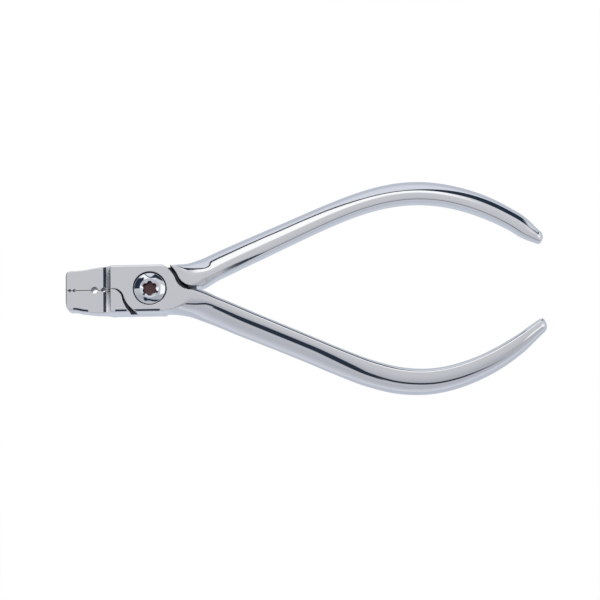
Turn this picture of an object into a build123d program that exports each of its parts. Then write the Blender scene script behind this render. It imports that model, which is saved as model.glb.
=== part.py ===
from build123d import *
import math
import os

# Crimping pliers with a screwed lap joint, jaws closed.
#
# Frame: origin on the pivot axis, in the flat back face of the joint.
# +Z runs along the pivot axis to the screw head, +X from the pivot to the
# handles, +Y to the side of the upper jaw.  Millimetres.
#
# Each lever is built as the front one (upper jaw, lower handle); the back
# lever is then turned over about the X axis.

# --- joint ---
THICK = 9.0            # joint thickness, ground flat on both faces
MID = THICK / 2        # lap plane
HALF_W = 6.45          # half width of the joint
EDGE_R = 0.45          # rounding of the ground edges
LAP_GAP = 0.04         # axial clearance between the two lap plates
PART_GAP = 0.03        # half the hairline between the closed jaws
CROTCH_GAP = 0.50      # half the gap between the two handles at the crotch

# handle side of the joint block
LOW_ARC_X = 2.9        # end of the straight lower side
LOW_ARC_R = 3.864      # arc from there to the last tail point
RUN_SLOPE = 0.604      # slope of the straight run-out after the upper corner
RUN_LENGTH = 4.8
TAIL = [(9.2, 3.0), (9.2, -1.5), (5.6, -4.0), (5.6, -5.35)]   # (x, y), inside the handle
RIM_END_X = 5.5        # the rims are rounded up to here

# --- jaws ---
TIP_X = -22.75         # jaw ends
NOSE_T = 5.0           # thickness of the jaws
CREST_X = -10.65       # edge where the joint face drops to the jaws
STEP_R = 2.2           # hollow radius of that drop
STEP_END_X = -12.9     # just past the foot of that drop
JOINT_X = -8.4         # where the jaws' side curves run into the straight joint sides
UPPER_CORNER = 1.3     # corner radius at the end of the upper jaw
LOWER_CORNER = 1.8     # corner radius at the end of the lower jaw
UP_TIP_INSET = 0.03    # narrowing from the first outline point to the tip,
LOW_TIP_INSET = 0.35   # on the upper and the lower side of a block
UP_TANGENT = (1, 0.02)       # heading of the side curves at the first outline point
LOW_TANGENT = (-1, 0.22)
NOTCH_X = (-21.65, -20.38)   # two small diamond crimp notches
NOTCH_D = 0.95               # across the corners of a notch
CRIMP_HOLES = [(-14.95, 1.80), (-12.55, 1.20)]   # (x, diameter)

# outlines of the jaws from behind the tip corner to the joint, (x, half width)
UPPER_JAW = [(-20.9, 5.36), (-18.5, 5.50), (-16.8, 5.73), (-15.1, 6.03),
             (-13.4, 6.28), (-11.9, 6.40)]
LOWER_JAW = [(-20.3, 5.50), (-18.5, 5.85), (-16.8, 6.09), (-15.1, 6.29),
             (-13.4, 6.40), (-11.9, 6.44)]

# --- shoulder curves of the lap, as seen on the face the lever shows ---
JAW_PLATE_R = 7.33     # round end of a lap plate towards the jaws
JAW_SHOULDER_R = 7.60  # matching hollow in the other lever's jaw shoulder,
SHOULDER_DROP = 0.95   # its centre moved towards the jaw so the seam widens outwards
BEND_R = 2.8           # round between parting line and shoulder curve
JAW_ARC_END = 243.0    # degrees, end of the shoulder curve at the jaws
JAW_EXIT = (2.2, -12)  # from there: x step, and y outside the block
CROTCH_R = 4.5         # round between shoulder curve and crotch
HANDLE_ARC_END = 62.0  # degrees, end of the shoulder curve at the handles
FAR = 60               # region sides well clear of the joint
FAR_HANDLE = 260       # and beyond the handle ends

# --- pivot screw ---
HEAD_R, HEAD_T = 4.40, 1.90
SEAT_GAP = 0.02        # under the head
HEAD_Z = THICK - HEAD_T + SEAT_GAP
SINK_R = 4.55          # counterbore for the head
SHANK_R = 2.50         # shoulder
BORE_R = 2.55          # running bore in the front lever
THREAD_R = 2.00        # thread, drawn plain
THREAD_END_Z = 0.10
THREAD_CHAMFER = 0.35
HEAD_CHAMFER = 0.10    # rim of the head
DOME_Z = THICK - 0.40  # foot of the dome
DOME_MID = (3.50, THICK - 0.03)   # (radius, z)
DOME_TOP = (2.62, THICK + 0.24)
DISH_TOP = (2.52, THICK + 0.22)   # shallow dish around the socket
DISH_FLOOR_R, DISH_FLOOR_Z = 2.06, THICK - 0.14
SOCKET_OUT, SOCKET_IN, SOCKET_DEPTH = 1.97, 1.62, 1.90
LOBE_R, LOBE_FILLET = 0.70, 0.16

# --- handles, both written as the lower one ---
FACET_TILT = 18.0      # degrees, bevel along the inner side
END_SHARE_IN = 0.40    # share of the width inside the crown point at the round end
END_STEPS = (0.0, 0.5, 0.8, 0.94, 0.985)     # closing sections, in end radii
OUTER_ANGLES = (0, 14, 28, 42, 56, 68, 80)   # section points, degrees from the outside
INNER_ANGLES = (87, 81, 70, 56, 40, 24, 10)  # degrees from the inside

# Stations: crown point x, y, heading in degrees, reach of the section to the
# outside and to the inside, half thickness
ROOT = [
    (2.40, -1.70, 0.0, 4.60, 3.60, 11.6),
    (4.50, -1.70, 0.0, 4.66, 3.50, 9.20),
    (6.35, -1.70, 0.0, 4.80, 3.40, 6.90),
]
FRONT_HANDLE = ROOT + [
    (8.00, -1.76, -2.0, 4.95, 3.30, 5.40),
    (9.80, -1.98, -6.0, 5.05, 3.10, 4.72),
    (11.8, -2.40, -12.0, 5.08, 2.80, 4.32),
    (14.0, -3.06, -18.5, 5.24, 2.55, 4.05),
    (16.35, -3.81, -23.0, 5.34, 2.21, 3.84),
    (20.42, -5.48, -24.6, 5.30, 2.11, 3.60),
    (24.38, -7.21, -23.6, 5.35, 2.06, 3.45),
    (28.37, -8.95, -23.2, 5.28, 2.01, 3.35),
    (36.36, -12.41, -23.4, 5.17, 1.96, 3.25),
    (44.37, -15.92, -23.8, 5.10, 1.93, 3.20),
    (52.37, -19.43, -22.9, 5.15, 1.95, 3.20),
    (60.18, -22.59, -18.0, 5.06, 2.13, 3.20),
    (67.91, -24.59, -7.6, 4.86, 2.25, 3.20),
    (75.62, -24.86, 5.3, 4.61, 2.21, 3.20),
    (83.39, -23.31, 17.2, 4.29, 2.06, 3.20),
    (91.26, -20.21, 26.3, 3.85, 1.92, 3.05),
    (97.22, -16.84, 33.4, 3.33, 1.76, 2.72),
    (101.90, -13.52, 39.5, 2.72, 1.50, 2.30),
]
BACK_HANDLE = ROOT + [
    (8.00, -1.76, -2.0, 4.98, 3.30, 5.40),
    (9.80, -1.98, -6.0, 4.93, 3.10, 4.72),
    (11.8, -2.40, -12.0, 4.92, 2.80, 4.32),
    (14.0, -3.06, -18.5, 5.00, 2.55, 4.05),
    (16.29, -4.10, -24.6, 4.90, 2.20, 3.84),
    (20.23, -6.06, -24.9, 4.74, 2.21, 3.60),
    (24.21, -7.92, -24.0, 4.60, 2.20, 3.45),
    (28.19, -9.71, -23.7, 4.52, 2.17, 3.35),
    (36.17, -13.29, -23.9, 4.28, 2.05, 3.25),
    (44.15, -16.87, -23.6, 4.09, 1.96, 3.20),
    (52.10, -20.20, -21.1, 4.00, 1.92, 3.20),
    (60.01, -22.85, -15.3, 4.04, 1.93, 3.20),
    (67.85, -24.37, -6.2, 4.13, 1.98, 3.20),
    (75.64, -24.47, 4.8, 4.11, 1.97, 3.20),
    (83.46, -23.10, 15.1, 3.99, 1.91, 3.20),
    (91.32, -20.32, 24.0, 3.88, 1.86, 3.05),
    (97.22, -17.30, 31.1, 3.62, 1.73, 2.76),
    (101.9, -14.20, 38.2, 3.17, 1.60, 2.34),
]
# round end of a handle: centre x, y, heading, radius, half thickness, taper
FRONT_END = (105.24, -11.61, 43.0, 1.83, 1.85, 0.08)
BACK_END = (104.98, -13.08, 46.0, 1.78, 1.86, 0.05)


def section_points(reach_out, reach_in, half, power, facet):
    """Egg-shaped section, symmetric about the mid plane.  To the outside a
    superellipse quarter (power 2 is an ellipse, less gives a crease at the
    crown); to the inside a squarer one (power 4), bevelled by FACET_TILT
    beyond the distance facet from the crown."""
    def quarter(reach, degrees, exponent):
        angle = math.radians(degrees)
        return (reach * max(math.cos(angle), 0.0) ** (2 / exponent),
                half * max(math.sin(angle), 0.0) ** (2 / exponent))

    slope = math.tan(math.radians(FACET_TILT))
    upper = [quarter(reach_out, a, power) for a in OUTER_ANGLES] + [(0.0, half)]
    for a in INNER_ANGLES:
        depth, height = quarter(reach_in, a, 4)
        upper.append((-depth, min(height, half - slope * max(depth - facet, 0.0))))
    lower = [(u, -w) for u, w in reversed(upper[1:])]
    return upper + [(-reach_in, 0.0)] + lower


def end_stations(end):
    """Closing stations over the round end of a handle."""
    centre_x, centre_y, heading, radius, half, taper = end
    angle = math.radians(heading)
    rows = []
    for step in END_STEPS:
        shrink = math.sqrt(1 - step * step) * (1 - taper * step)
        width = 2 * radius * shrink
        offset = (0.5 - END_SHARE_IN) * width
        rows.append((centre_x + step * radius * math.cos(angle) - offset * math.sin(angle),
                     centre_y + step * radius * math.sin(angle) + offset * math.cos(angle),
                     heading, (1 - END_SHARE_IN) * width, END_SHARE_IN * width, half * shrink))
    return rows


def smooth_step(x, low, high):
    """0 up to low, 1 from high, with a smooth rise between."""
    t = min(max((x - low) / (high - low), 0.0), 1.0)
    return t * t * (3 - 2 * t)


def crown_power(x, fullness, crease):
    """Fuller section at the joint; then a crease along the crown, fading out
    at the bend."""
    creased = smooth_step(x, 9.0, 16.0) * (1 - smooth_step(x, 44.0, 70.0))
    return 2.0 + fullness * (1 - smooth_step(x, 8.5, 17.5)) - crease * creased


def inner_facet(x, start):
    """Bevel along the inner side, running out before the bend."""
    return start + 1.6 * smooth_step(x, 34.0, 50.0)


def handle(stations, end, fullness, crease, facet_start):
    """Handle lofted through its stations and ground flat to the joint thickness."""
    with BuildPart() as grip:
        for x, y, heading, reach_out, reach_in, half in stations + end_stations(end):
            angle = math.radians(heading)
            across = Plane(origin=(x, y, MID), x_dir=(math.sin(angle), -math.cos(angle), 0),
                           z_dir=(math.cos(angle), math.sin(angle), 0))
            points = section_points(reach_out, reach_in, half,
                                    crown_power(x, fullness, crease), inner_facet(x, facet_start))
            with BuildSketch(across):
                with BuildLine():
                    Spline(*points, periodic=True)
                make_face()
        loft()
        with BuildSketch(Plane.XY):
            with Locations((50, 0)):
                Rectangle(200, 120)
        extrude(amount=THICK, mode=Mode.INTERSECT)
    return grip


def is_rim(edge):
    """Level edge in a joint or jaw face, but not the crest or foot of the step."""
    box = edge.bounding_box()
    face_heights = (0, THICK, MID - NOSE_T / 2, MID + NOSE_T / 2)
    level = abs(box.min.Z - box.max.Z) < 1e-5
    in_face = min(abs(edge.center().Z - z) for z in face_heights) < 1e-5
    across = edge.length > 10 and abs(edge.tangent_at(0.5).Y) > 0.99
    return level and in_face and not (across and edge.center().X > STEP_END_X)


def jaw_and_joint(jaw_up, corner_up, jaw_low, corner_low, plate_corner_x, plate_corner_r):
    """Jaws and joint in one ground block, before the lap is cut."""
    up, low = list(jaw_up), [(x, -y) for x, y in jaw_low]
    end_up = (TIP_X, up[0][1] - UP_TIP_INSET)
    end_low = (TIP_X, low[0][1] + LOW_TIP_INSET)
    # round corner of the lap plate and its straight run-out
    run_cos = 1 / math.hypot(1, RUN_SLOPE)
    run_sin = RUN_SLOPE * run_cos
    turn = (plate_corner_x + plate_corner_r * run_sin,
            HALF_W - plate_corner_r + plate_corner_r * run_cos)
    run = (turn[0] + RUN_LENGTH * run_cos, turn[1] - RUN_LENGTH * run_sin)
    with BuildPart() as block:
        with BuildSketch(Plane.XY) as outline:
            with BuildLine():
                Line(end_low, end_up)
                Line(end_up, up[0])
                Spline(*up, (JOINT_X, HALF_W), tangents=[UP_TANGENT, (1, 0)])
                Line((JOINT_X, HALF_W), (plate_corner_x, HALF_W))
                RadiusArc((plate_corner_x, HALF_W), turn, plate_corner_r)
                Polyline(turn, run, *TAIL)
                RadiusArc(TAIL[-1], (LOW_ARC_X, -HALF_W), LOW_ARC_R)
                Line((LOW_ARC_X, -HALF_W), (JOINT_X, -HALF_W))
                Spline((JOINT_X, -HALF_W), *reversed(low), tangents=[(-1, 0), LOW_TANGENT])
                Line(low[0], end_low)
            make_face()
            ends = outline.vertices().group_by(Axis.X)[0].sort_by(Axis.Y)
            fillet(ends[1], radius=corner_up)
            ends = outline.vertices().filter_by(lambda v: abs(v.X - TIP_X) < 1e-6).sort_by(Axis.Y)
            fillet(ends[0], radius=corner_low)
        extrude(amount=THICK)
        # hollow step from the joint faces down to the jaws, front and back
        fall = math.acos(1 - (THICK - NOSE_T) / 2 / STEP_R)
        for face_z, side in ((THICK, 1), (0.0, -1)):
            floor = MID + side * NOSE_T / 2
            crest = (CREST_X, face_z)
            foot = (CREST_X - STEP_R * math.sin(fall), floor)
            middle = (foot[0] + STEP_R * math.sin(fall / 2),
                      floor + side * STEP_R * (1 - math.cos(fall / 2)))
            over = face_z + 3 * side
            with BuildSketch(Plane.XZ.offset(-20)):
                with BuildLine():
                    Polyline(crest, (CREST_X, over), (-40, over), (-40, floor), foot)
                    ThreePointArc(foot, middle, crest)
                make_face()
            extrude(amount=40, mode=Mode.SUBTRACT)
        rims = [e for e in block.edges() if is_rim(e)]
        fillet([e for e in rims if e.center().X < RIM_END_X], radius=EDGE_R)
    return block


def on_circle(radius, degrees):
    angle = math.radians(degrees)
    return (radius * math.cos(angle), radius * math.sin(angle))


def region_jaw(radius, line_y, drop=0.0):
    """The other lever's jaw corner: below the parting line, outside the radius
    about (0, -drop), with the corner between the two rounded."""
    bend_y = line_y - BEND_R
    bend_x = -math.sqrt((radius + BEND_R) ** 2 - (bend_y + drop) ** 2)
    start = 180 + math.degrees(math.atan2(-bend_y - drop, -bend_x))
    x, y = on_circle(radius, JAW_ARC_END)
    exit_x = x + JAW_EXIT[0]
    with BuildSketch(Plane.XY) as region:
        with BuildLine():
            Line((-FAR, line_y), (bend_x, line_y))
            CenterArc((bend_x, bend_y), BEND_R, 90, start - 180 - 90)
            CenterArc((0, -drop), radius, start, JAW_ARC_END - start)
            Polyline((x, y - drop), (exit_x, JAW_EXIT[1]), (exit_x, -FAR), (-FAR, -FAR),
                     (-FAR, line_y))
        make_face()
    return region


def region_handle(radius, edge_y):
    """The other lever's handle root: above the crotch line, outside the radius,
    with the corner between the two rounded."""
    bend_x = math.sqrt((radius + CROTCH_R) ** 2 - (CROTCH_R + edge_y) ** 2)
    bend_y = edge_y + CROTCH_R
    start = math.degrees(math.atan2(bend_y, bend_x))
    top = on_circle(radius, HANDLE_ARC_END)
    with BuildSketch(Plane.XY) as region:
        with BuildLine():
            Line((FAR_HANDLE, edge_y), (bend_x, edge_y))
            CenterArc((bend_x, bend_y), CROTCH_R, 270, start + 180 - 270)
            CenterArc((0, 0), radius, start, HANDLE_ARC_END - start)
            Polyline(top, (top[0], FAR), (FAR_HANDLE, FAR), (FAR_HANDLE, edge_y))
        make_face()
    return region


def cut_lap(block, grip, plate_r, shoulder_r):
    """Join block and handle and cut the lap: plate in front, shoulders behind.
    The two radii are those of the curves towards the handles."""
    with BuildPart() as lever:
        add(block.part)
        add(grip.part)
        # what belongs to the other lever, full depth
        with BuildSketch(Plane.XY.offset(-1)):
            add(region_jaw(JAW_PLATE_R, PART_GAP).sketch)
            add(region_handle(plate_r, -CROTCH_GAP).sketch)
        extrude(amount=THICK + 2, mode=Mode.SUBTRACT)
        # behind the lap plane only the jaw corner and the handle root stay
        with BuildSketch(Plane.XY.offset(-1)):
            with Locations((100, 0)):
                Rectangle(400, 200)
            add(mirror(region_jaw(JAW_SHOULDER_R, -PART_GAP, SHOULDER_DROP).sketch,
                       about=Plane.XZ, mode=Mode.PRIVATE), mode=Mode.SUBTRACT)
            add(mirror(region_handle(shoulder_r, CROTCH_GAP).sketch,
                       about=Plane.XZ, mode=Mode.PRIVATE), mode=Mode.SUBTRACT)
        extrude(amount=MID + LAP_GAP / 2 + 1, mode=Mode.SUBTRACT)
        # crimp notches and crimp holes, half of each in this jaw
        with BuildSketch(Plane.XY):
            with Locations(*[(x, 0) for x in NOTCH_X]):
                Rectangle(NOTCH_D / math.sqrt(2), NOTCH_D / math.sqrt(2), rotation=45)
            for x, diameter in CRIMP_HOLES:
                with Locations((x, 0)):
                    Circle(diameter / 2)
        extrude(amount=THICK, mode=Mode.SUBTRACT)
    return lever


def front_lever():
    """Upper jaw, front lap plate, lower handle; bored and sunk for the screw."""
    block = jaw_and_joint(UPPER_JAW, UPPER_CORNER, LOWER_JAW, LOWER_CORNER,
                          plate_corner_x=2.9, plate_corner_r=2.9)
    # the facet starts beyond the section, so this handle has no bevel
    grip = handle(FRONT_HANDLE, FRONT_END, fullness=0.5, crease=0.55, facet_start=9.0)
    raw = cut_lap(block, grip, plate_r=7.35, shoulder_r=8.00)
    with BuildPart() as lever:
        add(raw.part)
        for radius, depth in ((BORE_R, THICK), (SINK_R, HEAD_T)):
            with BuildSketch(Plane.XY.offset(THICK)):
                Circle(radius)
            extrude(amount=-depth, mode=Mode.SUBTRACT)
    return lever.part


def back_lever():
    """Lower jaw, back lap plate, upper handle; holed for the thread."""
    block = jaw_and_joint(LOWER_JAW, LOWER_CORNER, UPPER_JAW, UPPER_CORNER,
                          plate_corner_x=3.6, plate_corner_r=1.5)
    grip = handle(BACK_HANDLE, BACK_END, fullness=1.6, crease=0.0, facet_start=0.90)
    raw = cut_lap(block, grip, plate_r=7.75, shoulder_r=8.30)
    with BuildPart() as lever:
        with Locations((0, 0, THICK)):
            add(raw.part, rotation=(180, 0, 0))
        with BuildSketch(Plane.XY):
            Circle(THREAD_R)
        extrude(amount=THICK, mode=Mode.SUBTRACT)
    return lever.part


def pivot_screw():
    """Low domed head with a six-lobed socket, shoulder, thread."""
    shoulder_z = MID - LAP_GAP / 2
    dome_foot = (HEAD_R - HEAD_CHAMFER, DOME_Z)
    with BuildPart() as screw:
        with BuildSketch(Plane.XZ):
            with BuildLine():
                Polyline((0, THREAD_END_Z), (THREAD_R - THREAD_CHAMFER, THREAD_END_Z),
                         (THREAD_R, THREAD_END_Z + THREAD_CHAMFER), (THREAD_R, shoulder_z),
                         (SHANK_R, shoulder_z), (SHANK_R, HEAD_Z), (HEAD_R, HEAD_Z),
                         (HEAD_R, DOME_Z - HEAD_CHAMFER), dome_foot)
                ThreePointArc(dome_foot, DOME_MID, DOME_TOP)
                Polyline(DOME_TOP, DISH_TOP, (DISH_FLOOR_R, DISH_FLOOR_Z), (0, DISH_FLOOR_Z),
                         (0, THREAD_END_Z))
            make_face()
        revolve(axis=Axis.Z)
        with BuildSketch(Plane.XY.offset(THICK + 1)) as socket:
            Circle(SOCKET_OUT)
            with PolarLocations(SOCKET_IN + LOBE_R, 6, start_angle=0):
                Circle(LOBE_R, mode=Mode.SUBTRACT)
            fillet(socket.vertices(), radius=LOBE_FILLET)
        extrude(amount=-(SOCKET_DEPTH + 1), mode=Mode.SUBTRACT)
    return screw.part


os.makedirs("parts", exist_ok=True)
for build in (front_lever, back_lever, pivot_screw):
    piece = build()
    piece.label = build.__name__
    export_step(piece, f"parts/{piece.label}.step")
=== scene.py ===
"""Two-lever steel hand tool: jaws, lap joint on a pivot screw, and curved handles.

It lies on the floor with the pivot axis along Z: jaws towards -X, handles towards +X, the
screw head facing +Z.  The front lever has its jaw at +Y and its handle at -Y; the back
lever is described the same way and then turned half a turn about X.
"""

import math
from itertools import product

import bpy
import numpy as np
from mathutils import Matrix, Vector


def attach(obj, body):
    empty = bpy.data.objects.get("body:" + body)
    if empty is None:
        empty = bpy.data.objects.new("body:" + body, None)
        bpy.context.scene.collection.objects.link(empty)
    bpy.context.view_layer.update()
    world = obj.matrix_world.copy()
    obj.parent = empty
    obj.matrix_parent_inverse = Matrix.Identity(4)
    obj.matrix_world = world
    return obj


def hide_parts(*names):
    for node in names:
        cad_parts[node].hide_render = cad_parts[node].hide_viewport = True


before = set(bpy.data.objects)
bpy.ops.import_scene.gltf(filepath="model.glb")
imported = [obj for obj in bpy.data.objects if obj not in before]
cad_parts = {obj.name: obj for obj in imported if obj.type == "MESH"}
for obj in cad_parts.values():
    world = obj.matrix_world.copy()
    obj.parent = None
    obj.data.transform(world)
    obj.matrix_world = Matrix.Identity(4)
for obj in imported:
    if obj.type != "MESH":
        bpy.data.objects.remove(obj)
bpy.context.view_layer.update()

# ---------------------------------------------------------------------------
# Dimensions in millimetres; x and y from the pivot, z from the joint's mid plane
# ---------------------------------------------------------------------------
THICK = 9.0
FACE_Z = THICK / 2
HALF_W = 6.45  # half width of the joint
EDGE_R, EDGE_LOSS = 0.45, 0.15  # edge rounding, and what it loses towards the handle
LAP_GAP, PART_GAP = 0.04, 0.03

# jaws: tip, thinner nose, and the hollow step up to the full thickness
TIP_X, NOSE_T, CREST_X, JOINT_X, STEP_R = -22.75, 5.0, -10.65, -8.4, 2.2
STEP_WALL_X = CREST_X - STEP_R * math.sin(math.acos(1 - (THICK - NOSE_T) / 2 / STEP_R)) + STEP_R
UPPER_TIP_R, LOWER_TIP_R = 1.3, 1.8
NOTCH_X, NOTCH_D = (-21.65, -20.38), 0.95
HOLES = ((-14.95, 1.80, 0.07), (-12.55, 1.20, 0.06))  # x, diameter, edge radius
# side walls of the closed jaws: x, distance from the centre line
UPPER_JAW = [(-20.9, 5.36), (-18.5, 5.50), (-16.8, 5.73), (-15.1, 6.03), (-13.4, 6.28), (-11.9, 6.40)]
LOWER_JAW = [(-20.3, 5.50), (-18.5, 5.85), (-16.8, 6.09), (-15.1, 6.29), (-13.4, 6.40), (-11.9, 6.44)]
JAW_SLOPE, FAR_SLOPE = 0.02, 0.22  # wall slopes at the tip, jaw side and handle side

# joint block behind the pivot: rounded corners (x, radius) and their straight run-outs
FRONT_CORNER, BACK_CORNER, FAR_CORNER = (2.9, 2.9), (3.6, 1.5), (2.9, 3.864)
RUN_SLOPE = 0.604
RUN_SIN = RUN_SLOPE / math.hypot(1, RUN_SLOPE)
FAR_SIN = 2.7 / FAR_CORNER[1]
BLOCK_X, BLOCK_Y, BLOCK_MAX_X = 5.6, -4.0, 9.2  # slanted end of the block
SLANT_X, SLANT_Y, SLANT_LEN = 3.6, 2.5, 4.383
GRIP_X, GRIP_MARGIN, GRIP_BLEND = 1.8, 0.6, 0.22  # where the handle begins

# plan outlines of the lap joint
PLATE_R, SHOULDER_R, SHOULDER_DROP = 7.33, 7.60, 0.95
BEND_R, CROTCH_R, CROTCH = 2.8, 4.5, 0.50
JAW_CUT_TURN, HANDLE_CUT_TURN = 243, 62  # degrees round the plate where the cuts end
CUT_RUN, CUT_Y = 2.2, -12  # the jaw cut's end line: run in x, lowest y

# blend radii
CREST_R, SEAM_R, NOSE_SEAM_R, LAP_R, BEVEL_R, NOTCH_R, BORE_EDGE_R = 0.16, 0.16, 0.08, 0.10, 0.03, 0.05, 0.10
NOSE_SEAM_X = -10.2
BEVEL = (math.radians(12.0), math.radians(18.7))  # bevels on the world's +Y and -Y sides
BEVEL_END_X = 6
FACET_TILT, FACET_R = math.radians(23.0), 0.02
CREASE = 0.55

# pivot screw
HEAD_R, HEAD_T, SINK_R, SHANK_R, BORE_R, THREAD_R = 4.40, 1.90, 4.55, 2.50, 2.55, 2.00
SOCKET_OUT, SOCKET_IN, SOCKET_DEPTH, LOBE_R, LOBE_BLEND = 1.97, 1.62, 1.90, 0.70, 0.16
# three points (radius, z) of the domed face
DOME = ((HEAD_R - 0.10, FACE_Z - 0.40), (3.50, FACE_Z - 0.03), (2.62, FACE_Z + 0.24))
RIM_R, RIM_Z, RIM_OUT = 2.06, FACE_Z - 0.14, 2.75  # bevel round the socket
RIM_NORMAL = (0.36, 0.46)
THREAD_END, THREAD_CHAMFER = -FACE_Z + 0.10, 0.35
SHANK_TOP, THREAD_TOP = FACE_Z - 0.8, 1.0

# Handle stations: x, y and heading (degrees) of the crown line, width to the outer side,
# width to the inner side, half thickness
ROOT = [
    (2.40, -1.70, 0.0, 4.60, 3.60, 11.6),
    (4.50, -1.70, 0.0, 4.66, 3.50, 9.20),
    (6.35, -1.70, 0.0, 4.80, 3.40, 6.90),
]
FRONT_HANDLE = ROOT + [
    (8.00, -1.76, -2.0, 4.95, 3.30, 5.40),
    (9.80, -1.98, -6.0, 5.05, 3.10, 4.72),
    (11.8, -2.40, -12.0, 5.08, 2.80, 4.32),
    (14.0, -3.06, -18.5, 5.24, 2.55, 4.05),
    (16.35, -3.81, -23.0, 5.34, 2.21, 3.84),
    (20.42, -5.48, -24.6, 5.30, 2.11, 3.60),
    (24.38, -7.21, -23.6, 5.35, 2.06, 3.45),
    (28.37, -8.95, -23.2, 5.28, 2.01, 3.35),
    (36.36, -12.41, -23.4, 5.17, 1.96, 3.25),
    (44.37, -15.92, -23.8, 5.10, 1.93, 3.20),
    (52.37, -19.43, -22.9, 5.15, 1.95, 3.20),
    (60.18, -22.59, -18.0, 5.06, 2.13, 3.20),
    (67.91, -24.59, -7.6, 4.86, 2.25, 3.20),
    (75.62, -24.86, 5.3, 4.61, 2.21, 3.20),
    (83.39, -23.31, 17.2, 4.29, 2.06, 3.20),
    (91.26, -20.21, 26.3, 3.85, 1.92, 3.05),
    (97.22, -16.84, 33.4, 3.33, 1.76, 2.72),
    (101.90, -13.52, 39.5, 2.72, 1.50, 2.30),
]
BACK_HANDLE = ROOT + [
    (8.00, -1.76, -2.0, 4.98, 3.30, 5.40),
    (9.80, -1.98, -6.0, 4.93, 3.10, 4.72),
    (11.8, -2.40, -12.0, 4.92, 2.80, 4.32),
    (14.0, -3.06, -18.5, 5.00, 2.55, 4.05),
    (16.29, -4.10, -24.6, 4.90, 2.20, 3.84),
    (20.23, -6.06, -24.9, 4.74, 2.21, 3.60),
    (24.21, -7.92, -24.0, 4.60, 2.20, 3.45),
    (28.19, -9.71, -23.7, 4.52, 2.17, 3.35),
    (36.17, -13.29, -23.9, 4.28, 2.05, 3.25),
    (44.15, -16.87, -23.6, 4.09, 1.96, 3.20),
    (52.10, -20.20, -21.1, 4.00, 1.92, 3.20),
    (60.01, -22.85, -15.3, 4.04, 1.93, 3.20),
    (67.85, -24.37, -6.2, 4.13, 1.98, 3.20),
    (75.64, -24.47, 4.8, 4.11, 1.97, 3.20),
    (83.46, -23.10, 15.1, 3.99, 1.91, 3.20),
    (91.32, -20.32, 24.0, 3.88, 1.86, 3.05),
    (97.22, -17.30, 31.1, 3.62, 1.73, 2.76),
    (101.9, -14.20, 38.2, 3.17, 1.60, 2.34),
]
# Handle ends: x, y, heading, end radius, half thickness, taper
FRONT_END = (105.24, -11.61, 43.0, 1.83, 1.85, 0.08)
BACK_END = (104.98, -13.08, 46.0, 1.78, 1.86, 0.05)
INNER_SHARE = 0.40  # of the end's width, on the inner side of the crown line
INNER_POWER = 4.0  # squareness of the section's inner side


# ---------------------------------------------------------------------------
# Small maths.  Fields are signed distances, negative inside.
# ---------------------------------------------------------------------------
class Spline:
    """Cubic spline, natural unless the two end slopes are given."""

    def __init__(self, x, y, slopes=None):
        x, y = np.asarray(x, float), np.asarray(y, float)
        count = len(x)
        gap = np.diff(x)
        matrix = np.zeros((count, count))
        right = np.zeros(count)
        for i in range(1, count - 1):
            matrix[i, i - 1 : i + 2] = gap[i - 1], 2 * (gap[i - 1] + gap[i]), gap[i]
            right[i] = 6 * ((y[i + 1] - y[i]) / gap[i] - (y[i] - y[i - 1]) / gap[i - 1])
        if slopes is None:
            matrix[0, 0] = matrix[-1, -1] = 1
        else:
            matrix[0, 0:2] = 2 * gap[0], gap[0]
            right[0] = 6 * ((y[1] - y[0]) / gap[0] - slopes[0])
            matrix[-1, -2:] = gap[-1], 2 * gap[-1]
            right[-1] = 6 * (slopes[1] - (y[-1] - y[-2]) / gap[-1])
        self.x, self.y, self.gap = x, y, gap
        self.second = np.linalg.solve(matrix, right)

    def __call__(self, at):
        at = np.asarray(at, float)
        i = np.clip(np.searchsorted(self.x, at, side="right") - 1, 0, len(self.gap) - 1)
        gap = self.gap[i]
        ahead, behind = self.x[i + 1] - at, at - self.x[i]
        s0, s1 = self.second[i], self.second[i + 1]
        return (
            (s0 * ahead**3 + s1 * behind**3) / (6 * gap)
            + (self.y[i] / gap - s0 * gap / 6) * ahead
            + (self.y[i + 1] / gap - s1 * gap / 6) * behind
        )


def round_and(a, b, r):
    return np.minimum(-r, np.maximum(a, b)) + np.hypot(np.maximum(a + r, 0), np.maximum(b + r, 0))


def round_or(a, b, r):
    return np.maximum(r, np.minimum(a, b)) - np.hypot(np.maximum(r - a, 0), np.maximum(r - b, 0))


def rise(x, start, end):
    """Smooth step from 0 to 1."""
    t = np.clip((x - start) / (end - start), 0, 1)
    return t * t * (3 - 2 * t)


def band(x, start, full, fading, end):
    """Smooth step up, then down again."""
    return rise(x, start, full) * (1 - rise(x, fading, end))


def circle_through(a, b, c):
    """Centre and radius of the circle through three points."""
    (ax, ay), (bx, by), (cx, cy) = a, b, c
    twice = 2 * (ax * (by - cy) + bx * (cy - ay) + cx * (ay - by))
    a2, b2, c2 = ax**2 + ay**2, bx**2 + by**2, cx**2 + cy**2
    x = (a2 * (by - cy) + b2 * (cy - ay) + c2 * (ay - by)) / twice
    y = (a2 * (cx - bx) + b2 * (ax - cx) + c2 * (bx - ax)) / twice
    return x, y, math.hypot(ax - x, ay - y)


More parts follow.
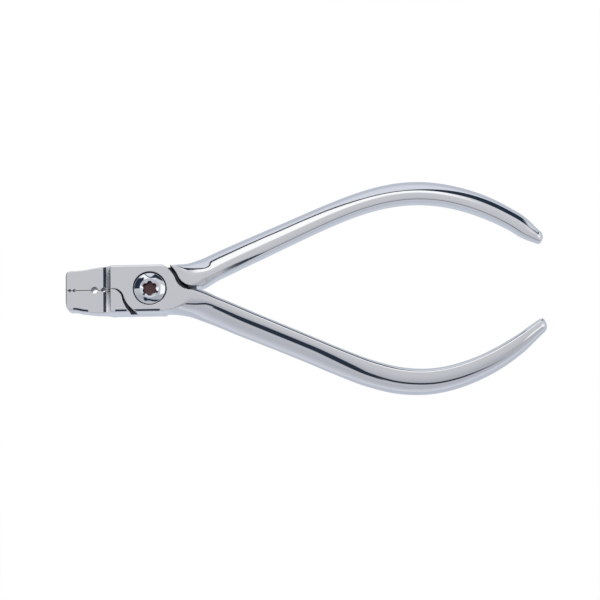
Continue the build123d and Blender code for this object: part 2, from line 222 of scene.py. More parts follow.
# ---------------------------------------------------------------------------
# Fields of a lever, in the front lever's position
# ---------------------------------------------------------------------------
class Handle:
    """Superelliptic section swept along the crown line."""

    def __init__(self, rows, end, fullness, crease, facet):
        end_x, end_y, heading, self.end_r, half_t, self.taper = end
        turn, width = math.radians(heading), 2 * self.end_r
        shift = (0.5 - INNER_SHARE) * width
        end_row = (
            end_x - shift * math.sin(turn), end_y + shift * math.cos(turn), heading,
            (1 - INNER_SHARE) * width, INNER_SHARE * width, half_t,
        )
        rows = np.array(rows + [end_row], float)
        # the crown line: Hermite pieces between stations, sampled finely
        place = rows[:, :2]
        tangent = np.c_[np.cos(np.radians(rows[:, 2])), np.sin(np.radians(rows[:, 2]))]
        t = np.linspace(0, 1, 161)[:, None]
        from_place, from_tangent = 2 * t**3 - 3 * t**2 + 1, t**3 - 2 * t**2 + t
        to_place, to_tangent = -2 * t**3 + 3 * t**2, t**3 - t**2
        pieces, station_s = [], [0.0]
        for i in range(len(place) - 1):
            chord = np.linalg.norm(place[i + 1] - place[i])
            line = (
                from_place * place[i] + from_tangent * chord * tangent[i]
                + to_place * place[i + 1] + to_tangent * chord * tangent[i + 1]
            )
            pieces.append(line[:-1] if i < len(place) - 2 else line)
            length = np.linalg.norm(np.diff(line, axis=0), axis=1).sum()
            station_s.append(station_s[-1] + length)
        line = np.vstack(pieces)
        s = np.r_[0, np.cumsum(np.linalg.norm(np.diff(line, axis=0), axis=1))]
        # evenly spaced knots, made curvature continuous by a spline through them
        knots = np.linspace(0, s[-1], 34)
        self.length = s[-1]
        self.s = np.linspace(0, s[-1], 5000)
        self.x, self.y = (Spline(knots, np.interp(knots, s, line[:, i]))(self.s) for i in (0, 1))
        tan_x, tan_y = np.gradient(self.x, self.s), np.gradient(self.y, self.s)
        size = np.hypot(tan_x, tan_y)
        self.tan_x, self.tan_y = tan_x / size, tan_y / size
        self.bend = np.gradient(np.arctan2(self.tan_y, self.tan_x), self.s)
        station_s = np.array(station_s)
        self.outer = Spline(station_s, rows[:, 3])(self.s)
        self.inner = Spline(station_s, rows[:, 4])(self.s)
        self.half_t = np.exp(Spline(station_s, np.log(rows[:, 5]))(self.s))
        # section power: full at the root, creased along the crown in the middle
        self.power = 2.0 + fullness * (1 - rise(self.x, 8.5, 17.5))
        self.power -= crease * band(self.x, 9.0, 16.0, 44.0, 70.0)
        # inset of the inner facet from the crown line; more inset makes it narrower
        self.facet = (
            facet + 1.2 * (1 - rise(self.x, 10.5, 14.5))
            + 0.45 * rise(self.x, 18.0, 40.0) + 1.2 * rise(self.x, 42.0, 56.0)
        )

    def at(self, s, *curves):
        return [np.interp(s, self.s, curve) for curve in curves]

    def offset(self, x, y, s):
        """Distances from the line's point at s: to the outer side, and along the line."""
        line_x, line_y, tan_x, tan_y = self.at(s, self.x, self.y, self.tan_x, self.tan_y)
        dx, dy = x - line_x, y - line_y
        return dx * tan_y - dy * tan_x, dx * tan_x + dy * tan_y

    def __call__(self, x, y, z):
        s = np.interp(x, self.x, self.s)
        for _ in range(5):  # walk to the nearest point of the line
            out, along = self.offset(x, y, s)
            (bend,) = self.at(s, self.bend)
            s = np.clip(s + along / np.clip(1 + bend * out, 0.3, 3), 0, self.length)
        out, along = self.offset(x, y, s)
        past = np.maximum(along, 0) * (s >= self.length - 1e-6) / self.end_r
        shrink = np.clip(1 - self.taper * past, 0.4, 1)
        outer, inner, half_t, power, facet = self.at(
            s, self.outer, self.inner, self.half_t, self.power, self.facet
        )
        width = np.where(out > 0, outer, inner) * shrink
        half_t = half_t * shrink
        power = np.where(out > 0, power, INNER_POWER)
        across, height = np.abs(out) / width, np.abs(z) / half_t
        total = np.power(across, power) + np.power(height, power) + np.power(past, power)
        level = np.power(total + 1e-12, 1 / power)
        axes = ((across, width), (height, half_t), (past, self.end_r))
        steepness = sum((np.power(part / level, power - 1) / size) ** 2 for part, size in axes)
        body = (level - 1) / np.sqrt(steepness + 1e-9)
        bevel = (np.abs(z) - half_t) * math.cos(FACET_TILT) + (-out - facet) * math.sin(FACET_TILT)
        return round_and(body, bevel, FACET_R)


def jaw_region(x, y, r, line_y, drop=0.0):
    """Plan below line_y and outside the plate, with a rounded corner between them."""
    corner_y = line_y - BEND_R
    corner_x = -math.sqrt((r + BEND_R) ** 2 - (corner_y + drop) ** 2)
    dx, dy = x - corner_x, y - corner_y
    in_corner = (dx > 0) & ((corner_y + drop) * dx - corner_x * dy > 0)
    sharp = np.maximum(y - line_y, r - np.hypot(x, y + drop))
    region = np.where(in_corner, np.hypot(dx, dy) - BEND_R, sharp)
    # end line, from the plate's rim downwards
    turn = math.radians(JAW_CUT_TURN)
    rim_x, rim_y = r * math.cos(turn), r * math.sin(turn) - drop
    fall = CUT_Y - rim_y
    right = ((x - rim_x) * (-fall) + (y - rim_y) * CUT_RUN) / math.hypot(CUT_RUN, fall)
    return np.maximum(region, right)


def handle_region(x, y, r, edge):
    """Plan above edge and outside the plate, right of the pivot, with a rounded corner."""
    corner_x, corner_y = math.sqrt((r + CROTCH_R) ** 2 - (CROTCH_R + edge) ** 2), edge + CROTCH_R
    dx, dy = x - corner_x, y - corner_y
    in_corner = (dx < 0) & (dy < 0) & (dx * corner_y - dy * corner_x > 0)
    sharp = np.maximum(edge - y, r - np.hypot(x, y))
    region = np.where(in_corner, np.hypot(dx, dy) - CROTCH_R, sharp)
    return np.maximum(region, r * math.cos(math.radians(HANDLE_CUT_TURN)) - x)


def notch_outline(x, y, notch_x):
    """Diamond in plan, not scaled to true distance."""
    return np.abs(x - notch_x) + np.abs(y) - NOTCH_D / 2


class Wall:
    """Side wall of jaw and joint block, y positive outwards."""

    def __init__(self, points, slope, corner, run_sin):
        self.start, self.slope, self.run_sin = points[0][0], slope, run_sin
        self.corner_x, self.corner_r = corner
        xs, widths = zip(*points, (JOINT_X, HALF_W))
        self.spline = Spline(xs, widths, slopes=(slope, 0.0))

    def width(self, x):
        inside = self.spline(np.clip(x, self.start, JOINT_X))
        width = np.where(x >= JOINT_X, HALF_W, inside)
        before = self.spline(self.start) + self.slope * (x - self.start)
        return np.where(x < self.start, before, width)

    def __call__(self, x, y):
        width, ahead = self.width(x), 1e-3
        slope = (self.width(x + ahead) - width) / ahead
        side = (y - width) / np.sqrt(1 + slope**2)
        # round corner, then a straight run-out tangent to it
        run_cos = math.sqrt(1 - self.run_sin**2)
        dx, dy = x - self.corner_x, y - (HALF_W - self.corner_r)
        on_arc = dx * run_cos - dy * self.run_sin < 0
        arc = np.where(on_arc, np.hypot(dx, dy), dx * self.run_sin + dy * run_cos) - self.corner_r
        return np.where(x > self.corner_x, arc, side)


class Lever:
    """Jaw wall on the +y side, far wall and handle on the -y side."""

    def __init__(self, jaw, jaw_r, far, far_r, corner, handle, plate_r, shoulder_r, bored):
        self.jaw_wall = Wall(jaw, JAW_SLOPE, corner, RUN_SIN)
        self.far_wall = Wall(far, FAR_SLOPE, FAR_CORNER, FAR_SIN)
        self.jaw_r, self.far_r = jaw_r, far_r
        self.handle, self.bored = handle, bored
        self.plate_r, self.shoulder_r = plate_r, shoulder_r

    def sides(self, x, y, z, jaw_wall, far_wall):
        """Outline of the block joined to the handle."""
        tip = TIP_X - x
        slant = ((x - BLOCK_X) * SLANT_Y - (y - BLOCK_Y) * SLANT_X) / SLANT_LEN
        end = np.minimum(x - BLOCK_X, np.maximum(x - BLOCK_MAX_X, slant))
        jaw_side, far_side = round_and(tip, jaw_wall, self.jaw_r), round_and(tip, far_wall, self.far_r)
        outline = np.maximum(np.maximum(jaw_side, far_side), end)
        grip = np.full_like(x, 50.0)
        near = x > GRIP_X - GRIP_MARGIN
        if near.any():
            grip[near] = np.maximum(self.handle(x[near], y[near], z[near]), GRIP_X - x[near])
        return round_or(outline, grip, GRIP_BLEND)

    def faces(self, x, z, jaw_wall, far_wall):
        """Ground faces with the hollow step, and slim bevels along the long sides."""
        height = np.abs(z)
        hollow = round_and(NOSE_T / 2 - height, x - STEP_WALL_X, STEP_R)
        face = round_and(height - FACE_Z, -hollow, CREST_R)
        # bevel widths along x, broken where the polishing wheel left them
        upper_width = 0.10 + 0.36 * rise(x, -10.9, -10.5) - 1.2 * rise(x, 3.5, 6.0)
        lower_width = band(x, -21.6, -20.6, -16.8, -15.6) + band(x, -10.0, -9.2, -6.2, -5.6)
        lower_width = 1.12 * (lower_width + band(x, -5.2, -4.6, 2.4, 4.2)) - 0.30
        lower_width = lower_width - 1.5 * rise(x, 3.0, 5.5)
        walls = (jaw_wall, far_wall) if self.bored else (far_wall, jaw_wall)
        top = face
        for wall, width, tilt in zip(walls, (upper_width, lower_width), BEVEL):
            bevel = wall * math.sin(tilt) + face * math.cos(tilt) + width * math.sin(tilt)
            top = np.where(x < BEVEL_END_X, round_and(top, bevel, BEVEL_R), top)
        return top

    def shares(self, x, y):
        """Plan regions: the other lever's jaw and handle, and what stays behind the lap."""
        other_jaw = jaw_region(x, y, PLATE_R, PART_GAP)
        other_handle = handle_region(x, y, self.plate_r, -CROTCH)
        shoulder = jaw_region(x, -y, SHOULDER_R, -PART_GAP, SHOULDER_DROP)
        keep = np.minimum(shoulder, handle_region(x, -y, self.shoulder_r, CROTCH))
        return other_jaw, other_handle, keep

    def __call__(self, x, y, z):
        jaw_wall, far_wall = self.jaw_wall(x, y), self.far_wall(x, -y)
        rim = EDGE_R - EDGE_LOSS * np.clip((x - 4) / 4, 0, 1)
        sides = self.sides(x, y, z, jaw_wall, far_wall)
        body = round_and(sides, self.faces(x, z, jaw_wall, far_wall), 0.6 * rim)
        other_jaw, other_handle, keep = self.shares(x, y)
        body = round_and(body, -other_jaw, np.where(x < NOSE_SEAM_X, NOSE_SEAM_R, SEAM_R))
        body = round_and(body, -other_handle, SEAM_R)
        body = round_and(body, np.minimum(keep, LAP_GAP / 2 - z), LAP_R)
        # crimp notches and holes
        for notch_x in NOTCH_X:
            body = round_and(body, -(notch_outline(x, y, notch_x) / math.sqrt(2)), NOTCH_R)
        for hole_x, diameter, edge_r in HOLES:
            body = round_and(body, diameter / 2 - np.hypot(x - hole_x, y), edge_r)
        radius = np.hypot(x, y)
        if not self.bored:
            return round_and(body, THREAD_R - radius, BORE_EDGE_R)
        body = np.maximum(body, BORE_R - radius)
        sink = np.maximum(radius - SINK_R, FACE_Z - HEAD_T - z)
        return round_and(body, -sink, BORE_EDGE_R)


# ---------------------------------------------------------------------------
# Field of the pivot screw
# ---------------------------------------------------------------------------
DOME_X, DOME_Z, DOME_R = circle_through(*DOME)


def hexalobe(x, y):
    """Six-lobed outline of the socket."""
    turn = np.arctan2(y, x)
    turn = np.mod(turn + math.pi / 6, math.pi / 3) - math.pi / 6  # nearest valley at 0
    radius = np.hypot(x, y)
    fold_x, fold_y = radius * np.cos(turn), radius * np.sin(turn)
    valley = LOBE_R - np.hypot(fold_x - (SOCKET_IN + LOBE_R), fold_y)
    return round_and(radius - SOCKET_OUT, valley, LOBE_BLEND)


def screw_field(x, y, z):
    radius = np.hypot(x, y)
    dome = np.hypot(radius - DOME_X, z - DOME_Z) - DOME_R
    head = round_and(radius - HEAD_R, dome, 0.12)
    head = np.maximum(head, FACE_Z - HEAD_T + 0.02 - z)
    # bevel into the socket; -5 leaves the head alone outside it
    across, up = RIM_NORMAL
    bevel = (-(radius - RIM_R) * across + (z - RIM_Z) * up) / math.hypot(across, up)
    head = round_and(head, np.where(radius < RIM_OUT, bevel, -5.0), 0.05)
    head = np.where(radius < RIM_R, np.maximum(head, z - RIM_Z), head)
    shank = np.maximum(radius - SHANK_R, -LAP_GAP / 2 - z)
    body = np.minimum(head, np.maximum(shank, z - SHANK_TOP))
    below_end = THREAD_END - z
    thread = np.maximum(radius - THREAD_R, below_end)
    chamfer = (radius - (THREAD_R - THREAD_CHAMFER) + below_end) / math.sqrt(2)
    thread = np.maximum(np.maximum(thread, chamfer), z - THREAD_TOP)
    body = np.minimum(body, thread)
    socket = np.maximum(hexalobe(x, y), FACE_Z - SOCKET_DEPTH - z)
    return round_and(body, -socket, 0.04)


# ---------------------------------------------------------------------------
# Surface nets on a stretched grid, then exact positions and normals
# ---------------------------------------------------------------------------
BLOCK = 4  # cells along a side of the blocks tested first
CHUNK = 200000  # points evaluated at a time


def sample(field, points):
    parts = np.array_split(points, max(1, len(points) // CHUNK))
    return np.concatenate([field(*part.T) for part in parts])


def polygonise(field, grid, slack):
    """Vertices and quads of the field's zero surface."""
    shape = np.array([len(lines) for lines in grid])

    def places(index):
        return np.stack([lines[i] for lines, i in zip(grid, index.T)], 1)

    # evaluate every grid point only in blocks that may hold the surface
    low = np.array(list(product(*(range(0, n - 1, BLOCK) for n in shape))))
    high = np.minimum(low + BLOCK, shape - 1)
    start, end = places(low), places(high)
    reach = np.linalg.norm(end - start, axis=1) / 2
    middle = sample(field, (start + end) / 2)
    near = np.abs(middle) < reach * slack + 0.05
    need = np.zeros(shape, bool)
    value = np.full(shape, 9.0, np.float32)
    for (i, j, k), (a, b, c), is_near, level in zip(low, high, near, middle):
        block = np.s_[i : a + 1, j : b + 1, k : c + 1]
        if is_near:
            need[block] = True
        elif level < 0:
            value[block] = -9.0
    index = np.argwhere(need)
    value[tuple(index.T)] = sample(field, places(index))
    inside = value < 0

    corners = list(product((0, 1), repeat=3))
    nx, ny, nz = shape - 1
    count = sum(inside[a : nx + a, b : ny + b, c : nz + c].astype(np.int8) for a, b, c in corners)
    mixed = (count > 0) & (count < 8)
    cells = np.argwhere(mixed)
    vertex_id = np.full(mixed.shape, -1, np.int64)
    vertex_id[mixed] = np.arange(len(cells))

    # vertex: mean of the cell's edge crossings
    total, crossings = np.zeros((len(cells), 3)), np.zeros(len(cells))
    for corner in corners:
        for axis in range(3):
            if corner[axis]:
                continue
            other = list(corner)
            other[axis] = 1
            from_index, to_index = cells + corner, cells + other
            v0, v1 = value[tuple(from_index.T)], value[tuple(to_index.T)]
            crossed = (v0 < 0) != (v1 < 0)
            t = np.where(crossed, v0 / np.where(crossed, v0 - v1, 1), 0)
            t = np.clip(t, 0, 1)
            p0, p1 = places(from_index), places(to_index)
            point = p0 + (p1 - p0) * t[:, None]
            total[crossed] += point[crossed]
            crossings[crossed] += 1

    # one quad round every grid edge that crosses the surface
    quads = []
    for axis in range(3):
        others = [i for i in range(3) if i != axis]
        edges = np.argwhere(np.diff(inside, axis=axis))
        around = edges[:, others]
        edges = edges[((around > 0) & (around < shape[others] - 1)).all(1)]
        starts_inside = inside[tuple(edges.T)]
        ring = []
        for back in ((1, 1), (0, 1), (0, 0), (1, 0)):
            cell = edges.copy()
            cell[:, others] -= back
            ring.append(vertex_id[tuple(cell.T)])
        ring = np.stack(ring, 1)
        flip = starts_inside == (axis == 1)
        ring[flip] = ring[flip][:, ::-1]
        quads.append(ring)
    return total / crossings[:, None], np.vstack(quads)


def gradient(field, points, reach=2e-3):
    slopes = np.empty_like(points)
    for axis in range(3):
        step = np.zeros(3)
        step[axis] = reach
        slopes[:, axis] = (field(*(points + step).T) - field(*(points - step).T)) / (2 * reach)
    return slopes


def settle(field, points, cell):
    """Move vertices onto the surface; return them with their normals."""
    start = points.copy()
    for _ in range(4):
        level = field(*points.T)
        slopes = gradient(field, points)
        step = slopes * (level / np.maximum((slopes * slopes).sum(1), 0.15))[:, None]
        size = np.linalg.norm(step, axis=1)
        step *= np.minimum(1, 0.6 * cell / np.maximum(size, 1e-9))[:, None]
        points = points - step
    far = np.linalg.norm(points - start, axis=1) > 1.5 * cell
    points[far] = start[far]
    slopes = gradient(field, points, 4e-3)
    return points, slopes / np.maximum(np.linalg.norm(slopes, axis=1), 1e-9)[:, None]


def make_piece(name, points, normals, quads):
    mesh = bpy.data.meshes.new(name)
    metres = points.copy()
    metres[:, 2] += FACE_Z
    metres *= 1e-3
    mesh.vertices.add(len(metres))
    mesh.vertices.foreach_set("co", metres.astype(np.float32).ravel())
    mesh.loops.add(len(quads) * 4)
    mesh.loops.foreach_set("vertex_index", quads.astype(np.int32).ravel())
    mesh.polygons.add(len(quads))
    mesh.polygons.foreach_set("loop_start", np.arange(0, len(quads) * 4, 4, dtype=np.int32))
    mesh.update(calc_edges=True)
    mesh.validate()
    mesh.shade_smooth()
    mesh.normals_split_custom_set_from_vertices(normals.astype(np.float32).tolist())
    piece = bpy.data.objects.new(name, mesh)
    bpy.context.scene.collection.objects.link(piece)
    return piece


def build(name, field, grid, cell, slack=1.6, turn=(1.0, 1.0, 1.0)):
    """Mesh a field; return the object and its face centres before any turn."""
    points, quads = polygonise(field, grid, slack)
    points, normals = settle(field, points, cell)
    piece = make_piece(name, points * np.array(turn), normals * np.array(turn), quads)
    return piece, points[quads].mean(1)


def use_second_material(piece, faces):
    # validation may have dropped faces, and then the mask no longer fits
    if len(piece.data.polygons) == len(faces):
        piece.data.polygons.foreach_set("material_index", faces.astype(np.int32))


def mark_painted_shade(piece, lever, centres):
    """Lap, seams, holes and notches get the second material, a rough near-black steel: painted shade on the
    walls that sit in the gaps and recesses.
    """
    x, y, z = centres.T
    other_jaw, other_handle, keep = lever.shares(x, y)
    # painted shade mask: faces along the cuts, the lap, holes, notches and counterbore
    painted_shade = (np.abs(other_jaw) < 0.04) | (np.abs(other_handle) < 0.04)
    painted_shade |= (np.abs(keep) < 0.04) & (z < 0.1)
    painted_shade |= (np.abs(z - LAP_GAP / 2) < 0.03) & (keep > 0)
    for hole_x, diameter, _ in HOLES:
        painted_shade |= np.abs(np.hypot(x - hole_x, y) - diameter / 2) < 0.05
    for notch_x in NOTCH_X:
        painted_shade |= np.abs(notch_outline(x, y, notch_x)) < 0.06
    painted_shade |= np.hypot(x, y) < SINK_R + 0.05
    face_z = np.where(x < -12.9, NOSE_T / 2, FACE_Z)
    use_second_material(piece, painted_shade & (np.abs(z) < face_z - 0.16) & (x < 12.5))


# ---------------------------------------------------------------------------
# The three pieces
# ---------------------------------------------------------------------------
coarse = 1.0
LEVER_CELL, SCREW_CELL = 0.15 * coarse, 0.103 * coarse
HALF_TURN = (1.0, -1.0, -1.0)  # about the X axis


def grid_lines(*runs):
    """Grid lines from (start, end, step) runs."""
    lines = []
    for start, end, step in runs:
        count = max(1, int(round((end - start) / (step * coarse))))
        lines.append(np.linspace(start, end, count + 1)[:-1])
    lines.append([runs[-1][1]])
    return np.concatenate(lines)


lever_grid = (
    grid_lines((-23.11, 6.0, 0.15), (6.0, 16.0, 0.17), (16.0, 100.0, 0.30), (100.0, 107.83, 0.17)),
    grid_lines((-30.87, -7.03, 0.20), (-7.03, 7.03, 0.15)),
    grid_lines((-4.73, 4.73, 0.1503)),
)
screw_side = grid_lines((-4.63, 4.63, 0.103))
screw_grid = (screw_side, screw_side, grid_lines((-4.63, 4.95, 0.103)))

front = Lever(
    jaw=UPPER_JAW, jaw_r=UPPER_TIP_R, far=LOWER_JAW, far_r=LOWER_TIP_R, corner=FRONT_CORNER,
    handle=Handle(FRONT_HANDLE, FRONT_END, fullness=0.5, crease=CREASE, facet=9.0),
    plate_r=7.35, shoulder_r=8.00, bored=True,
)
back = Lever(
    jaw=LOWER_JAW, jaw_r=LOWER_TIP_R, far=UPPER_JAW, far_r=UPPER_TIP_R, corner=BACK_CORNER,
    handle=Handle(BACK_HANDLE, BACK_END, fullness=1.6, crease=0.0, facet=0.75),
    plate_r=7.75, shoulder_r=8.30, bored=False,
)

front_piece, centres = build("front_lever_polished", front, lever_grid, LEVER_CELL)
mark_painted_shade(front_piece, front, centres)
back_piece, centres = build("back_lever_polished", back, lever_grid, LEVER_CELL, turn=HALF_TURN)
mark_painted_shade(back_piece, back, centres)

screw_piece, centres = build("pivot_screw_polished", screw_field, screw_grid, SCREW_CELL, slack=1.8)
x, y, z = centres.T
# painted shade: the socket's inner walls get the dark brownish second material
in_depth = (z < FACE_Z - 0.22) & (z > FACE_Z - SOCKET_DEPTH - 0.1)
use_second_material(screw_piece, (hexalobe(x, y) < 0.03) & in_depth)

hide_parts("front_lever")
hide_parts("back_lever")
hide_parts("pivot_screw")
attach(front_piece, "front_half")
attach(back_piece, "back_half")
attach(screw_piece, "back_half")


# ---------------------------------------------------------------------------
# Materials
# ---------------------------------------------------------------------------
def linear(rgb):
    """Linear RGBA of an 8-bit screen colour."""
    c = np.asarray(rgb, float) / 255
    return tuple(np.where(c <= 0.04045, c / 12.92, ((c + 0.055) / 1.055) ** 2.4)) + (1.0,)


def fresh_tree(owner):
    owner.use_nodes = True
    owner.node_tree.nodes.clear()
    return owner.node_tree


def node(tree, kind, data_type=None, **inputs):
    """New node; inputs are values or sockets to link, with _ for a space in their names."""
    new = tree.nodes.new("ShaderNode" + kind)
    if data_type:
        new.data_type = data_type
    for name, value in inputs.items():
        socket = new.inputs[name.replace("_", " ")]
        if isinstance(value, bpy.types.NodeSocket):
            tree.links.new(value, socket)
        else:
            socket.default_value = value
    return new


def steel(name, tint, rough, wave):
    """Stainless steel: hand-polishing waviness (metres) and fine uneven gloss."""
    material = bpy.data.materials.new(name)
    tree = fresh_tree(material)
    place = node(tree, "TexCoord").outputs["Object"]
    gloss = node(tree, "TexNoise", Vector=place, Scale=420.0, Detail=3.0)
    roughness = node(
        tree, "MapRange", Value=gloss.outputs["Fac"],
        From_Min=0.3, From_Max=0.7, To_Min=rough * 0.75, To_Max=rough * 1.3,
    )
    grain = node(tree, "TexNoise", Vector=place, Scale=2600.0, Detail=4.0)
    darker = tuple(0.965 * c for c in tint[:3]) + (1.0,)
    colour = node(tree, "Mix", data_type="RGBA", A=tint, B=darker, Factor=grain.outputs["Fac"])
    waves = node(tree, "TexNoise", Vector=place, Scale=160.0, Detail=1.0)
    bump = node(tree, "Bump", Strength=1.0, Distance=wave, Height=waves.outputs["Fac"])
    shader = node(
        tree, "BsdfPrincipled", Metallic=1.0, Roughness=roughness.outputs["Result"],
        Base_Color=colour.outputs["Result"], Normal=bump.outputs["Normal"],
    )
    node(tree, "OutputMaterial", Surface=shader.outputs["BSDF"])
    return material


lever_steel = steel("lever_steel", tint=(0.745, 0.748, 0.75, 1), rough=0.05, wave=1.2e-6)
# near-black rough steel: painted shade for the walls inside the seams, lap, holes, notches and counterbore
seam_shade_steel = steel("seam_shade_steel", tint=(0.085, 0.085, 0.10, 1), rough=0.34, wave=2.0e-6)
screw_steel = steel("screw_steel", tint=(0.72, 0.735, 0.75, 1), rough=0.05, wave=1.0e-6)
# dark brownish rough steel: painted shade inside the socket
socket_shade_steel = steel("socket_shade_steel", tint=(0.13, 0.075, 0.075, 1), rough=0.38, wave=4.0e-6)
for piece, materials in (
    (front_piece, (lever_steel, seam_shade_steel)),
    (back_piece, (lever_steel, seam_shade_steel)),
    (screw_piece, (screw_steel, socket_shade_steel)),
):
    for material in materials:
        piece.data.materials.append(material)
for name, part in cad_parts.items():
    for slot in part.material_slots:
        slot.link = "OBJECT"
        slot.material = screw_steel if name == "pivot_screw" else lever_steel

# ---------------------------------------------------------------------------
# Surround: white and pale panels with a few dark gaps, placed by direction
# ---------------------------------------------------------------------------
STEEL_RETURN = 0.74  # how much of the surround the steel gives back
world = bpy.data.worlds.new("studio")
bpy.context.scene.world = world
sky_tree = fresh_tree(world)
direction = node(sky_tree, "TexCoord").outputs["Generated"]
split = node(sky_tree, "SeparateXYZ", Vector=direction)


def calc(operation, *values, clamp=False):
    new = sky_tree.nodes.new("ShaderNodeMath")
    new.operation = operation
    new.use_clamp = clamp
    for i, value in enumerate(values):
        if isinstance(value, (int, float)):
            new.inputs[i].default_value = value
        else:
            sky_tree.links.new(value, new.inputs[i])
    return new.outputs[0]


# PHI: degrees from the zenith towards +Y.  CHI: degrees towards +X.
DX, DY, DZ = (split.outputs[axis] for axis in "XYZ")
PHI = calc("MULTIPLY", calc("ARCTAN2", DY, DZ), 180 / math.pi)
ACROSS = calc("SQRT", calc("ADD", calc("MULTIPLY", DY, DY), calc("MULTIPLY", DZ, DZ)))
CHI = calc("MULTIPLY", calc("ARCTAN2", DX, ACROSS), 180 / math.pi)


def tone(level, tint):
    """Neutral to slightly blue grey of a mean screen level."""
    return linear((level - 3.2 * tint, level - 0.8 * tint, level + 6 * tint))


def ramp(value, stops, low, high):
    new = sky_tree.nodes.new("ShaderNodeValToRGB")
    fraction = calc("DIVIDE", calc("SUBTRACT", value, low), high - low)
    sky_tree.links.new(fraction, new.inputs["Fac"])
    new.color_ramp.interpolation = "LINEAR"
    elements = new.color_ramp.elements
    while len(elements) > 1:
        elements.remove(elements[-1])
    for i, (at, colour) in enumerate(stops):
        position = (at - low) / (high - low)
        element = elements[0] if i == 0 else elements.new(position)
        element.position = position
        element.color = colour
    return new.outputs["Color"]


def curve(value, stops):
    """Angle against an angle, both in degrees, carried as a grey from -limit to limit."""
    limit = 120.0
    greys = [(at, ((angle + limit) / (2 * limit),) * 3 + (1.0,)) for at, angle in stops]
    grey = ramp(value, greys, -60.0, 60.0)
    return calc("SUBTRACT", calc("MULTIPLY", grey, 2 * limit), limit)


def above(value, edge, soft):
    """0 below the edge, 1 above it, soft wide."""
    return calc("ADD", calc("DIVIDE", calc("SUBTRACT", value, edge), soft), 0.5, clamp=True)


def inverse(mask):
    return calc("SUBTRACT", 1.0, mask)


def below(value, edge, soft):
    return inverse(above(value, edge, soft))


def both(*masks):
    result = masks[0]
    for mask in masks[1:]:
        result = calc("MULTIPLY", result, mask)
    return result


def span(value, low, high, soft, high_soft=None):
    return both(above(value, low, soft), below(value, high, high_soft or soft))


def over(base, colour, mask):
    mix = node(sky_tree, "Mix", data_type="RGBA", A=base, B=colour, Factor=mask)
    return mix.outputs["Result"]


WHITE, NAVY = tone(252, 0.2), linear((38, 47, 62))
# pale backdrop: PHI, screen level, tint
BACKDROP = [
    (-179.9, 206, 1.6), (-115, 206, 1.6), (-95, 209, 1.6), (-84, 206, 1.6), (-73, 199, 1.6),
    (-64, 189, 1.4), (-56, 180, 1.3), (-45, 179, 1.2), (-36, 186, 1.0), (-22, 170, 1.0),
    (-14, 177, 1.0), (-7, 185, 1.0), (0, 189, 0.9), (6, 193, 0.8), (10, 194, 0.7), (22, 200, 0.7),
    (36, 203, 1.0), (43, 206, 1.2), (55, 216, 1.4), (70, 214, 1.6), (90, 206, 1.8),
    (110, 204, 1.8), (130, 210, 1.6), (179.9, 206, 1.6),
]
# edges and middle of the dark gaps: CHI, PHI
UPPER_GAP_LOW = [
    (-60, 76), (-22, 69), (-20, 65.5), (-17, 60), (-14, 54), (-11, 48), (-8, 43), (-4, 39),
    (0, 37.5), (4, 38), (10, 40), (14, 43), (20, 41), (30, 40), (45, 44), (60, 60),
]
UPPER_GAP_HIGH = [
    (-60, 82), (-22, 75), (-20, 71.5), (-17, 66), (-14, 60), (-11, 53.5), (-8, 48), (-4, 44),
    (0, 42.5), (4, 46.5), (7, 52), (10, 58), (14, 66), (18, 73), (25, 79), (31, 83), (45, 86),
    (60, 80),
]
LOWER_GAP = [
    (-60, -22), (-14, -25.0), (-4, -27), (0, -28), (8, -32), (20, -35), (35, -38), (60, -40),
]

sky = ramp(PHI, [(at, tone(level, tint)) for at, level, tint in BACKDROP], -180.0, 180.0)
# upper gap: a thin dark line that widens to the right
low_edge = curve(CHI, UPPER_GAP_LOW)
high_edge = curve(CHI, UPPER_GAP_HIGH)
# white softbox up to that gap, then the gap itself
sky = over(sky, WHITE, both(span(PHI, 24.5, 120, 4.5, 1), below(PHI, low_edge, 1.0), below(CHI, 10, 8)))
sky = over(sky, NAVY, both(above(PHI, low_edge, 1.4), below(PHI, high_edge, 1.6), span(CHI, -24, 40, 4, 6)))
# lower gap
middle = curve(CHI, LOWER_GAP)
gap = span(calc("SUBTRACT", PHI, middle), -4.6, 4.6, 2.0)
sky = over(sky, NAVY, both(gap, above(CHI, -21, 4), below(CHI, 29, 22)))
# the same gap is deeper to the left
sky = over(sky, NAVY, both(span(PHI, -34, -17.5, 2.0), span(CHI, -21, -10.6, 3, 1.2)))
# dark card on the left, with a pale slit in it
slit = calc("MULTIPLY", span(CHI, -73, -65, 3), 0.35)
ends = both(below(CHI, -60, 3), inverse(span(DY, 0.165, 0.181, 0.004)))
card = span(DY, 0.1540, 0.68, 0.010, 0.06)
sky = over(sky, NAVY, both(below(CHI, -17.5, 2.0), card, inverse(slit), inverse(ends)))
# softbox low on the right
sky = over(sky, WHITE, both(span(CHI, 29, 75, 4), span(PHI, -12, 24, 5)))
background = node(sky_tree, "Background", Color=sky, Strength=1.0 / STEEL_RETURN)
node(sky_tree, "OutputWorld", Surface=background.outputs["Background"])


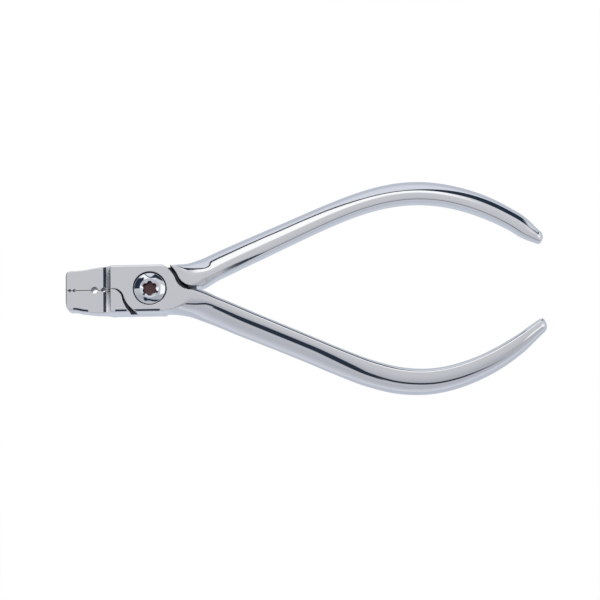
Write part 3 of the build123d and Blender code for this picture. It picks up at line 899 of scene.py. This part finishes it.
# ---------------------------------------------------------------------------
# Floor: one glow for the camera, another with a little diffuse for other rays
# ---------------------------------------------------------------------------
def floor_material():
    material = bpy.data.materials.new("pale_floor")
    tree = fresh_tree(material)
    seen = node(tree, "Emission", Color=linear((184, 190, 201)), Strength=1 / 0.74)
    noise = node(tree, "TexNoise", Scale=30.0)
    strength = node(tree, "MapRange", Value=noise.outputs["Fac"], To_Min=1.0, To_Max=1.03)
    glow = node(tree, "Emission", Color=(1.0, 1.0, 1.0, 1.0), Strength=strength.outputs["Result"])
    diffuse = node(tree, "BsdfDiffuse", Color=(0.9, 0.9, 0.9, 1))
    is_camera = node(tree, "LightPath").outputs["Is Camera Ray"]
    by_ray = node(tree, "MixShader", Fac=is_camera)
    unseen = node(tree, "MixShader", Fac=0.03)
    for mix, first, second in ((unseen, glow, diffuse), (by_ray, unseen, seen)):
        # the camera sees the second shader only if it is listed first here
        pair = (second, first) if mix is by_ray else (first, second)
        for i, shader in enumerate(reversed(pair) if False else pair):
            tree.links.new(shader.outputs[0], mix.inputs[i + 1])
    node(tree, "OutputMaterial", Surface=by_ray.outputs[0])
    return material


FLOOR_HALF = 1.6  # metres
floor_mesh = bpy.data.meshes.new("floor")
floor_corners = [(i * FLOOR_HALF, j * FLOOR_HALF, 0) for i, j in ((-1, -1), (1, -1), (1, 1), (-1, 1))]
floor_mesh.from_pydata(floor_corners, [], [(0, 1, 2, 3)])
floor = bpy.data.objects.new("floor", floor_mesh)
floor.location = (0.04, 0, -0.00002)
bpy.context.scene.collection.objects.link(floor)
floor.data.materials.append(floor_material())

# ---------------------------------------------------------------------------
# Camera: long lens, nearly square to the joint face, tilted 9.5 degrees
# ---------------------------------------------------------------------------
camera_data = bpy.data.cameras.new("camera")
camera_data.lens = 155.383
camera_data.sensor_width = 36.0
camera_data.sensor_fit = "HORIZONTAL"
camera_data.clip_start, camera_data.clip_end = 0.05, 10
camera = bpy.data.objects.new("camera", camera_data)
right = Vector((0.9998477, -0.01721306, -0.00288048))
up = Vector((0.01745241, 0.98613539, 0.16502247))
place = Vector((0.04039077, -0.11876597, 0.69489992))
camera.matrix_world = Matrix((*zip(right, up, right.cross(up), place), (0, 0, 0, 1)))
bpy.context.scene.collection.objects.link(camera)
bpy.context.scene.camera = camera
bpy.context.scene.view_settings.view_transform = "Standard"
bpy.context.scene.view_settings.look = "None"

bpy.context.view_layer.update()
